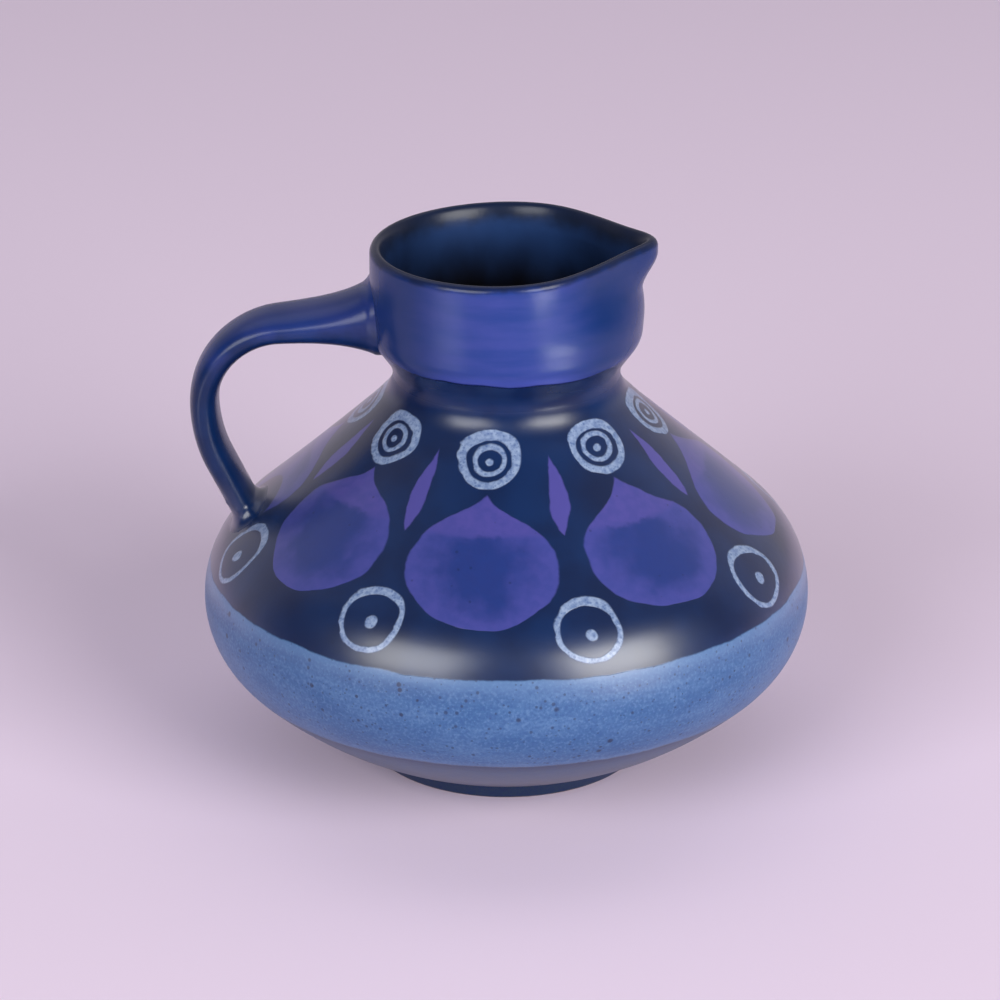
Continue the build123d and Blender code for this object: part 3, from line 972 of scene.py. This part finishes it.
def shoulder_material():
    """Navy ground with brushed violet petals and leaves, trailed rings of pale slip, and the band's top edge below."""
    material, shader, where = begin("shoulder_glaze", 1.36)
    spot = use(AROUND_JUG, Vector=where)
    edges = use(BAND_EDGES, Vector=where)

    over = spot["Height"] - SLOPE_HEIGHT
    flatter = calc("MAXIMUM", over * -1.0, 0.0) * SLOPE_FLATTENS
    sway = uneven(where, Patch=17.0, Detail=1.0, Seed=12.0)
    lift = uneven(where, Patch=17.0, Detail=1.0, Seed=17.0)
    shiver = uneven(where, Patch=3.0, Detail=2.0, Seed=21.0)
    up = over * SLOPE_STRETCH + flatter + (lift - 0.5) * 1.2
    sideways = (sway - 0.5) * 1.2 + (shiver - 0.5) * 0.3

    cells = {"Turn": spot["Turn"], "Radius": spot["Radius"], "Count": MOTIF_COUNT}
    petals = use(REPEAT_ROUND, Start=MOTIF_START, **cells)
    between = use(REPEAT_ROUND, Start=MOTIF_START + math.pi / MOTIF_COUNT, **cells)
    petal_across = petals["Across"] + sideways
    gap_across = between["Across"] + sideways
    petal_up = up + (petals["Chance"] - 0.5) * 1.6
    depth, share = painted_shape(petal_across, petal_up, PETAL_FOOT, PETAL_LENGTH, PETAL_HALF_WIDTH, PETAL_OUTLINE)
    from_root = place("ShaderNodeVectorMath", {0: where, 1: LOWER_ROOT}, operation="DISTANCE")["Value"]
    depth = calc("MINIMUM", depth, from_root * MM_PER_METRE - ROOT_CLEARING)
    petal = ramp(depth, -0.4, 0.4)
    leaf_depth, _ = painted_shape(gap_across, up, LEAF_FOOT, LEAF_LENGTH, LEAF_HALF_WIDTH, LEAF_OUTLINE)
    leaf = ramp(leaf_depth, -0.3, 0.3)
    slip = slip_mask(petal_across, gap_across, up, petals, between, shiver)
    slip_colour = paint(uneven(where, Patch=1.1, Detail=3.0, Seed=33.0), SLIP_THIN, SLIP)
    slip_colour = paint(specked(where, 0.8, 0.3, 0.8), slip_colour, BAND_DEEP, 0.5)

    colour = paint(petal, navy_ground(where), petal_glaze(where, depth, share))
    colour = paint(leaf, colour, PETAL_TOP)
    colour = paint(specked(where, 9.0, 0.4, 0.3), colour, NAVY_DEEP, 0.6)
    colour = paint(slip, colour, slip_colour)
    colour = paint(edges["Band"], colour, band_colour(where, edges))
    roughness = mixed(calc("MAXIMUM", petal, leaf), SHOULDER_ROUGHNESS, PETAL_ROUGHNESS)
    roughness = mixed(slip, roughness, SLIP_ROUGHNESS)
    roughness = mixed(edges["Band"], roughness, BAND_ROUGHNESS)
    lined(shader, where, colour, roughness)
    coated(shader, ramp(spot["Height"], *WAIST_COAT_ENDS), COAT_ROUGHNESS)
    raised = slip * SLIP_THICKNESS + petal * PETAL_THICKNESS + edges["Band"] * BAND_THICKNESS
    raise_glaze(shader, raised + dimpled(where))
    return material


def violet_glaze(where):
    """Violet-blue glaze of collar and handle: streaks laid round the pot, between a bluer and a redder violet."""
    streaks = uneven(where, Patch=26.0, Drawn=0.16, Detail=3.0, Seed=40.0)
    cloud = uneven(where, Patch=13.0, Detail=4.0, Seed=44.0)
    return paint(cloud, paint(streaks, VIOLET_BLUE, VIOLET), VIOLET_BLUE, 0.35)


def collar_material():
    """Violet-blue glaze that ends in a paler run above the navy waist, thins over the rim, and is navy inside, with
    painted shade towards navy on its flanks.
    """
    material, shader, where = begin("collar_glaze", 1.36)
    spot = use(AROUND_JUG, Vector=where)
    depth = attribute(where, "rim_depth")
    slow = uneven(where, Patch=12.0, Drawn=3.0, Detail=2.0, Seed=50.0)
    worn = uneven(where, Patch=6.0, Detail=3.0, Seed=54.0)
    run = spot["Height"] + slow * 0.9 - GLAZE_RUN_HEIGHT
    glazed = ramp(run, -0.35, 0.35)
    gathered = glazed * ramp(run, 3.2, 0.4)
    thin = ramp(depth + worn * 0.9, 2.6, 0.7)
    inner_rim = ramp(depth + worn * 1.6, 7.5, 2.5)
    # Painted shade: the collar's flanks, turned away from the front, are painted towards navy
    painted_side_shade = ramp(calc("ABSOLUTE", spot["Turn"]), 0.3, 0.85)
    colour = paint(gathered, violet_glaze(where), VIOLET_PALE, 0.75)
    colour = paint(painted_side_shade, colour, NAVY, 0.72)
    colour = paint(glazed, navy_ground(where), colour)
    colour = paint(specked(where, 8.0, 0.4, 0.25), colour, NAVY_DEEP, 0.5)
    lined(shader, where, paint(thin, colour, RIM_THIN, 0.88), COLLAR_ROUGHNESS, inner_rim)
    raise_glaze(shader, dimpled(where) + glazed * COLLAR_GLAZE_THICKNESS + gathered * RUN_THICKNESS)
    return material


def handle_material():
    """Violet-blue glaze on top that gives way to navy lower down and on the strap's underside. Its clear coat is as
    strong as the shoulder's only near the lower root."""
    material, shader, where = begin("handle_glaze", 1.35)
    height = use(AROUND_JUG, Vector=where)["Height"]
    cloud = uneven(where, Patch=9.0, Detail=3.0, Seed=60.0)
    high = ramp(height + cloud * 8.0, *HANDLE_TURNS_VIOLET)
    facing = ramp(attribute(where, "outer_face") + cloud * 0.2, 0.3, 0.85)
    feed(paint(high * facing, navy_ground(where), violet_glaze(where), 0.6), shader["Base Color"])
    shader["Roughness"].default_value = HANDLE_ROUGHNESS
    coated(shader, ramp(height, *HANDLE_COAT_FALLS, 0.8, 0.06), COAT_ROUGHNESS)
    raise_glaze(shader, dimpled(where))
    return material


# ---- the jug

skin("foot_ring_glazed", turned(foot_profile()), "foot_ring", foot_material())

base_rows, base_lining = base_profile()
skin("base_glazed", turned(base_rows), "base", base_material(), closed_rows=False,
     attributes={"lining": base_lining})

belly_rows, belly_lining = wall_between(BASE_SEAM_HEIGHT, BELLY_SEAM_HEIGHT)
skin("belly_glazed", turned(belly_rows), "belly", band_material(), attributes={"lining": belly_lining})

shoulder_rows, shoulder_lining = wall_between(BELLY_SEAM_HEIGHT, WAIST_HEIGHT)
skin("shoulder_glazed", turned(shoulder_rows), "shoulder", shoulder_material(),
     attributes={"lining": shoulder_lining})

collar_grid, collar_lining, rim_depth = collar_rings()
skin("collar_glazed", collar_grid, "collar", collar_material(),
     attributes={"lining": collar_lining, "rim_depth": rim_depth})

strap_grid, strap_outer = strap_rings()
skin("handle_glazed", strap_grid, "handle", handle_material(), closed_rows=False,
     attributes={"outer_face": strap_outer})


# ---- studio

# Metres, and degrees for the elevation
FLOOR_WIDTH = 6.0
LIGHTS_FACE_HEIGHT = 0.12
CAMERA_FACE_HEIGHT = 0.06911
CAMERA_DISTANCE = 1.0
CAMERA_ELEVATION = 22.82
CAMERA_LENS = 136.68
CAMERA_SHIFT = -0.00618
WHITE = (1.0, 1.0, 1.0)

# Lights: azimuth from the front towards the lip, elevation, distance, width, height, power, colour and spread
LIGHTS = [
    ("left_window", -37, 25, 3.0, 1.9, 1.5, 56, WHITE, 180),
    ("right_window", 43, 22, 3.0, 1.9, 1.6, 88, (1.0, 0.98, 0.94), 180),
    ("left_table_glow", -47, -18, 0.29, 0.14, 0.08, 0.0036, WHITE, 40),
    ("right_table_glow", 45, -18, 0.29, 0.16, 0.08, 0.0165, WHITE, 40),
    ("overhead", 180, 66, 4.0, 6.0, 3.0, 26, WHITE, 180),
]


def pale_floor():
    """Plain pale floor, a square."""
    mesh = bpy.data.meshes.new("floor")
    half = FLOOR_WIDTH / 2
    mesh.from_pydata([(-half, -half, 0), (half, -half, 0), (half, half, 0), (-half, half, 0)], [], [(0, 1, 2, 3)])
    material = bpy.data.materials.new("pale_floor")
    material.use_nodes = True
    shader = material.node_tree.nodes["Principled BSDF"].inputs
    shader["Base Color"].default_value = tint(240, 222, 245, 1.0)
    shader["Roughness"].default_value = 0.8
    shader["Specular IOR Level"].default_value = 0.2
    mesh.materials.append(material)
    floor = bpy.data.objects.new("floor", mesh)
    bpy.context.scene.collection.objects.link(floor)


def face_axis(holder, azimuth, elevation, distance, height):
    """Adds a light or the camera to the scene, at a distance from the axis at a height, and facing it."""
    turn, lift = math.radians(azimuth), math.radians(elevation)
    reach = distance * math.cos(lift)
    holder.location = (reach * math.sin(turn), -reach * math.cos(turn), height + distance * math.sin(lift))
    holder.rotation_euler = (math.pi / 2 - lift, 0, turn)
    bpy.context.scene.collection.objects.link(holder)


def soft_light(name, azimuth, elevation, distance, width, height, power, colour, spread):
    """Rectangular area light that faces the collar."""
    light = bpy.data.lights.new(name, "AREA")
    light.shape = "RECTANGLE"
    light.size, light.size_y = width, height
    light.energy = power
    light.color = colour
    light.spread = math.radians(spread)
    face_axis(bpy.data.objects.new(name, light), azimuth, elevation, distance, LIGHTS_FACE_HEIGHT)


def studio_world():
    """Soft surroundings: dim in front, brighter behind the jug, and there a little less so overhead."""
    world = bpy.data.worlds.new("studio")
    world.use_nodes = True
    tree = world.node_tree
    shader = tree.nodes["Background"].inputs
    parts = place("ShaderNodeSeparateXYZ", {"Vector": place("ShaderNodeTexCoord", {}, tree)["Generated"]})
    behind = ramp(parts["Y"], 0.05, 0.4)
    aloft = ramp(parts["Z"], 0.1, 0.6, 0.5, 0.35)
    feed(behind * aloft + 0.05, shader["Strength"])
    shader["Color"].default_value = tint(238, 230, 240, 1.0)
    bpy.context.scene.world = world


def photo_camera():
    """Camera at the photo's angle."""
    camera = bpy.data.cameras.new("camera")
    camera.lens = CAMERA_LENS
    camera.sensor_width = 36.0
    camera.shift_x = CAMERA_SHIFT
    camera.clip_start = 0.01
    viewer = bpy.data.objects.new("camera", camera)
    face_axis(viewer, 0, CAMERA_ELEVATION, CAMERA_DISTANCE, CAMERA_FACE_HEIGHT)
    bpy.context.scene.camera = viewer


pale_floor()
for light in LIGHTS:
    soft_light(*light)
studio_world()
photo_camera()
bpy.context.scene.view_settings.view_transform = "Standard"
